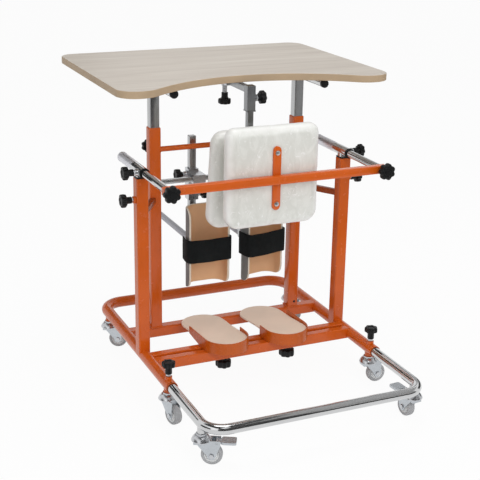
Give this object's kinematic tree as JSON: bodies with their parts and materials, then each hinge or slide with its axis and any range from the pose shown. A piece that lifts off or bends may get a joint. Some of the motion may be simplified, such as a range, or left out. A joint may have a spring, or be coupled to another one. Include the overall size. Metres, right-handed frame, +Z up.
{
  "type": "standing table",
  "caption": "Wheeled standing frame for a child with a cut-out table, chest and hip pads, strapped knee cups, sliding foot plates and a telescoping base, each set by star knobs.",
  "frame": {"origin": "centre of the bounding box's footprint, on the floor", "axes": "+Y the way the user faces, +X to the user's right, +Z up"},
  "size_m": [0.714, 0.9094, 0.8],
  "materials": {
    "orange_powder_coat": "satin powder coat",
    "chrome_tube": "bright chrome plate",
    "zinc_plate": "satin zinc plate",
    "black_plastic": "satin moulded plastic",
    "oak_laminate": "matt oak laminate with a tan edge band",
    "cream_vinyl": "smooth vinyl under clear film",
    "tan_moulding": "matt lined moulding",
    "tan_sole": "matt foam rubber",
    "black_webbing": "matt woven strap",
    "grey_tyre": "grey moulded tyre"
  },
  "bodies": {
    "frame": {"base_frame": "orange_powder_coat", "upper_frame": "orange_powder_coat"},
    "table": {"table_top": "oak_laminate", "left_table_column": "chrome_tube", "right_table_column": "chrome_tube", "chest_bracket": "chrome_tube"},
    "chest_slide": {"chest_slide_bar": "chrome_tube"},
    "chest": {"chest_pad_bar": "chrome_tube", "chest_pad": "cream_vinyl"},
    "arms": {"left_arm_sleeve": "chrome_tube", "right_arm_sleeve": "chrome_tube"},
    "hip": {"left_arm_tube": "chrome_tube", "right_arm_tube": "chrome_tube", "hip_bar": "orange_powder_coat", "hip_pad": "cream_vinyl"},
    "extension": {"base_extension": "chrome_tube"},
    "left_knee_carrier": {"left_knee_clamp": "zinc_plate"},
    "left_knee": {"left_knee_post": "chrome_tube", "left_knee_cup": "tan_moulding", "left_knee_strap": "black_webbing"},
    "left_foot_slider": {"left_foot_knob": "black_plastic"},
    "left_foot": {"left_heel_cup": "orange_powder_coat", "left_sole": "tan_sole"},
    "right_knee_carrier": {"right_knee_clamp": "zinc_plate"},
    "right_knee": {"right_knee_post": "chrome_tube", "right_knee_cup": "tan_moulding", "right_knee_strap": "black_webbing"},
    "right_foot_slider": {"right_foot_knob": "black_plastic"},
    "right_foot": {"right_heel_cup": "orange_powder_coat", "right_sole": "tan_sole"},
    "rear_left_fork": {"rear_left_caster_fork": "zinc_plate"},
    "rear_left_wheel": {"rear_left_wheel": "grey_tyre"},
    "rear_right_fork": {"rear_right_caster_fork": "zinc_plate"},
    "rear_right_wheel": {"rear_right_wheel": "grey_tyre"},
    "middle_left_fork": {"middle_left_caster_fork": "zinc_plate"},
    "middle_left_wheel": {"middle_left_wheel": "grey_tyre"},
    "middle_right_fork": {"middle_right_caster_fork": "zinc_plate"},
    "middle_right_wheel": {"middle_right_wheel": "grey_tyre"},
    "front_left_fork": {"front_left_caster_fork": "zinc_plate"},
    "front_left_wheel": {"front_left_wheel": "grey_tyre"},
    "front_left_pedal": {"front_left_brake_pedal": "zinc_plate"},
    "front_right_fork": {"front_right_caster_fork": "zinc_plate"},
    "front_right_wheel": {"front_right_wheel": "grey_tyre"},
    "front_right_pedal": {"front_right_brake_pedal": "zinc_plate"},
    "left_base_knob": {"left_base_knob": "black_plastic"},
    "left_table_knob": {"left_table_knob": "black_plastic"},
    "left_arm_height_knob": {"left_arm_height_knob": "black_plastic"},
    "left_arm_depth_knob": {"left_arm_depth_knob": "black_plastic"},
    "left_hip_knob": {"left_hip_knob": "black_plastic"},
    "left_knee_outer_knob": {"left_knee_outer_knob": "black_plastic"},
    "left_knee_inner_knob": {"left_knee_inner_knob": "black_plastic"},
    "right_base_knob": {"right_base_knob": "black_plastic"},
    "right_table_knob": {"right_table_knob": "black_plastic"},
    "right_arm_height_knob": {"right_arm_height_knob": "black_plastic"},
    "right_arm_depth_knob": {"right_arm_depth_knob": "black_plastic"},
    "right_hip_knob": {"right_hip_knob": "black_plastic"},
    "right_knee_outer_knob": {"right_knee_outer_knob": "black_plastic"},
    "right_knee_inner_knob": {"right_knee_inner_knob": "black_plastic"},
    "chest_depth_knob": {"chest_depth_knob": "black_plastic"},
    "chest_height_knob": {"chest_height_knob": "black_plastic"}
  },
  "joints": [
    {"name": "table_height", "type": "slide", "parent": "frame", "child": "table", "axis": [0, 0, 1], "range_m": [-0.05, 0.15]},
    {"name": "chest_depth", "type": "slide", "parent": "table", "child": "chest_slide", "axis": [0, 1, 0], "range_m": [-0.03, 0.05]},
    {"name": "chest_height", "type": "slide", "parent": "chest_slide", "child": "chest", "axis": [0, 0, 1], "range_m": [-0.03, 0]},
    {"name": "arms_height", "type": "slide", "parent": "frame", "child": "arms", "axis": [0, 0, 1], "range_m": [0, 0.12]},
    {"name": "arms_depth", "type": "slide", "parent": "arms", "child": "hip", "axis": [0, -1, 0], "range_m": [-0.02, 0.1]},
    {"name": "extension_length", "type": "slide", "parent": "frame", "child": "extension", "axis": [0, -1, 0], "range_m": [-0.085, 0.06]},
    {"name": "left_knee_shift", "type": "slide", "parent": "frame", "child": "left_knee_carrier", "axis": [1, 0, 0], "range_m": [-0.03, 0.008]},
    {"name": "left_knee_height", "type": "slide", "parent": "left_knee_carrier", "child": "left_knee", "axis": [0, 0, 1], "range_m": [-0.03, 0.06]},
    {"name": "left_foot_shift", "type": "slide", "parent": "frame", "child": "left_foot_slider", "axis": [1, 0, 0], "range_m": [-0.045, 0.005]},
    {"name": "left_foot_turn", "type": "hinge", "parent": "left_foot_slider", "child": "left_foot", "pos_m": [-0.08, -0.0493, 0.1143], "axis": [0, 0, 1], "range_deg": [-14, 16]},
    {"name": "right_knee_shift", "type": "slide", "parent": "frame", "child": "right_knee_carrier", "axis": [1, 0, 0], "range_m": [-0.006, 0.03]},
    {"name": "right_knee_height", "type": "slide", "parent": "right_knee_carrier", "child": "right_knee", "axis": [0, 0, 1], "range_m": [-0.03, 0.06]},
    {"name": "right_foot_shift", "type": "slide", "parent": "frame", "child": "right_foot_slider", "axis": [1, 0, 0], "range_m": [-0.005, 0.04]},
    {"name": "right_foot_turn", "type": "hinge", "parent": "right_foot_slider", "child": "right_foot", "pos_m": [0.103, -0.0493, 0.1143], "axis": [0, 0, 1], "range_deg": [-24, 6]},
    {"name": "rear_left_swivel", "type": "hinge", "parent": "frame", "child": "rear_left_fork", "pos_m": [-0.28, 0.2977, 0.072], "axis": [0, 0, 1], "continuous": true},
    {"name": "rear_left_roll", "type": "hinge", "parent": "rear_left_fork", "child": "rear_left_wheel", "pos_m": [-0.25807, 0.28794, 0.025], "axis": [0.4067, 0.9135, 0], "continuous": true},
    {"name": "rear_right_swivel", "type": "hinge", "parent": "frame", "child": "rear_right_fork", "pos_m": [0.28, 0.2977, 0.072], "axis": [0, 0, 1], "continuous": true},
    {"name": "rear_right_roll", "type": "hinge", "parent": "rear_right_fork", "child": "rear_right_wheel", "pos_m": [0.28621, 0.27452, 0.025], "axis": [0.9659, 0.2588, 0], "continuous": true},
    {"name": "middle_left_swivel", "type": "hinge", "parent": "frame", "child": "middle_left_fork", "pos_m": [-0.28, -0.1753, 0.072], "axis": [0, 0, 1], "continuous": true},
    {"name": "middle_left_roll", "type": "hinge", "parent": "middle_left_fork", "child": "middle_left_wheel", "pos_m": [-0.27379, -0.19848, 0.025], "axis": [0.9659, 0.2588, 0], "continuous": true},
    {"name": "middle_right_swivel", "type": "hinge", "parent": "frame", "child": "middle_right_fork", "pos_m": [0.28, -0.1753, 0.072], "axis": [0, 0, 1], "continuous": true},
    {"name": "middle_right_roll", "type": "hinge", "parent": "middle_right_fork", "child": "middle_right_wheel", "pos_m": [0.304, -0.1753, 0.025], "axis": [0, 1, 0], "continuous": true},
    {"name": "front_left_swivel", "type": "hinge", "parent": "extension", "child": "front_left_fork", "pos_m": [-0.28, -0.3953, 0.072], "axis": [0, 0, 1], "continuous": true},
    {"name": "front_left_roll", "type": "hinge", "parent": "front_left_fork", "child": "front_left_wheel", "pos_m": [-0.25881, -0.40657, 0.025], "axis": [0.4695, 0.8829, 0], "continuous": true},
    {"name": "front_left_brake", "type": "hinge", "parent": "front_left_fork", "child": "front_left_pedal", "pos_m": [-0.24821, -0.4122, 0.0575], "axis": [0.4695, 0.8829, 0], "range_deg": [0, 12]},
    {"name": "front_right_swivel", "type": "hinge", "parent": "extension", "child": "front_right_fork", "pos_m": [0.28, -0.3953, 0.072], "axis": [0, 0, 1], "continuous": true},
    {"name": "front_right_roll", "type": "hinge", "parent": "front_right_fork", "child": "front_right_wheel", "pos_m": [0.27791, -0.37139, 0.025], "axis": [-0.9962, -0.0872, 0], "continuous": true},
    {"name": "front_right_brake", "type": "hinge", "parent": "front_right_fork", "child": "front_right_pedal", "pos_m": [0.27686, -0.35944, 0.0575], "axis": [-0.9962, -0.0872, 0], "range_deg": [0, 12]},
    {"name": "left_base_knob_turn", "type": "hinge", "parent": "frame", "child": "left_base_knob", "pos_m": [-0.28, -0.1813, 0.121], "axis": [0, 0, 1], "range_deg": [0, 360]},
    {"name": "left_table_knob_turn", "type": "hinge", "parent": "frame", "child": "left_table_knob", "pos_m": [-0.202, 0.1537, 0.6], "axis": [0, 1, 0], "range_deg": [0, 360]},
    {"name": "left_arm_height_knob_turn", "type": "hinge", "parent": "frame", "child": "left_arm_height_knob", "pos_m": [-0.301, 0.0077, 0.513], "axis": [-1, 0, 0], "range_deg": [0, 360]},
    {"name": "left_arm_depth_knob_turn", "type": "hinge", "parent": "arms", "child": "left_arm_depth_knob", "pos_m": [-0.299, -0.0033, 0.585], "axis": [-1, 0, 0], "range_deg": [0, 360]},
    {"name": "left_hip_knob_turn", "type": "hinge", "parent": "hip", "child": "left_hip_knob", "pos_m": [-0.28, -0.1933, 0.585], "axis": [0, -1, 0], "range_deg": [0, 360]},
    {"name": "left_knee_outer_knob_turn", "type": "hinge", "parent": "left_knee_carrier", "child": "left_knee_outer_knob", "pos_m": [-0.1035, 0.1785, 0.513], "axis": [-1, 0, 0], "range_deg": [0, 360]},
    {"name": "left_knee_inner_knob_turn", "type": "hinge", "parent": "left_knee_carrier", "child": "left_knee_inner_knob", "pos_m": [-0.0601, 0.1785, 0.4585], "axis": [1, 0, 0], "range_deg": [0, 360]},
    {"name": "right_base_knob_turn", "type": "hinge", "parent": "frame", "child": "right_base_knob", "pos_m": [0.28, -0.1813, 0.121], "axis": [0, 0, 1], "range_deg": [0, 360]},
    {"name": "right_table_knob_turn", "type": "hinge", "parent": "frame", "child": "right_table_knob", "pos_m": [0.202, 0.1537, 0.6], "axis": [0, 1, 0], "range_deg": [0, 360]},
    {"name": "right_arm_height_knob_turn", "type": "hinge", "parent": "frame", "child": "right_arm_height_knob", "pos_m": [0.301, 0.0077, 0.513], "axis": [1, 0, 0], "range_deg": [0, 360]},
    {"name": "right_arm_depth_knob_turn", "type": "hinge", "parent": "arms", "child": "right_arm_depth_knob", "pos_m": [0.299, -0.0033, 0.585], "axis": [1, 0, 0], "range_deg": [0, 360]},
    {"name": "right_hip_knob_turn", "type": "hinge", "parent": "hip", "child": "right_hip_knob", "pos_m": [0.28, -0.1933, 0.585], "axis": [0, -1, 0], "range_deg": [0, 360]},
    {"name": "right_knee_outer_knob_turn", "type": "hinge", "parent": "right_knee_carrier", "child": "right_knee_outer_knob", "pos_m": [0.092, 0.1785, 0.513], "axis": [1, 0, 0], "range_deg": [0, 360]},
    {"name": "right_knee_inner_knob_turn", "type": "hinge", "parent": "right_knee_carrier", "child": "right_knee_inner_knob", "pos_m": [0.0486, 0.1785, 0.4585], "axis": [-1, 0, 0], "range_deg": [0, 360]},
    {"name": "chest_depth_knob_turn", "type": "hinge", "parent": "table", "child": "chest_depth_knob", "pos_m": [0, 0.1497, 0.7503], "axis": [0, 0, -1], "range_deg": [0, 360]},
    {"name": "chest_height_knob_turn", "type": "hinge", "parent": "chest_slide", "child": "chest_height_knob", "pos_m": [0.017, -0.0083, 0.747], "axis": [1, 0, 0], "range_deg": [0, 360]}
  ]
}
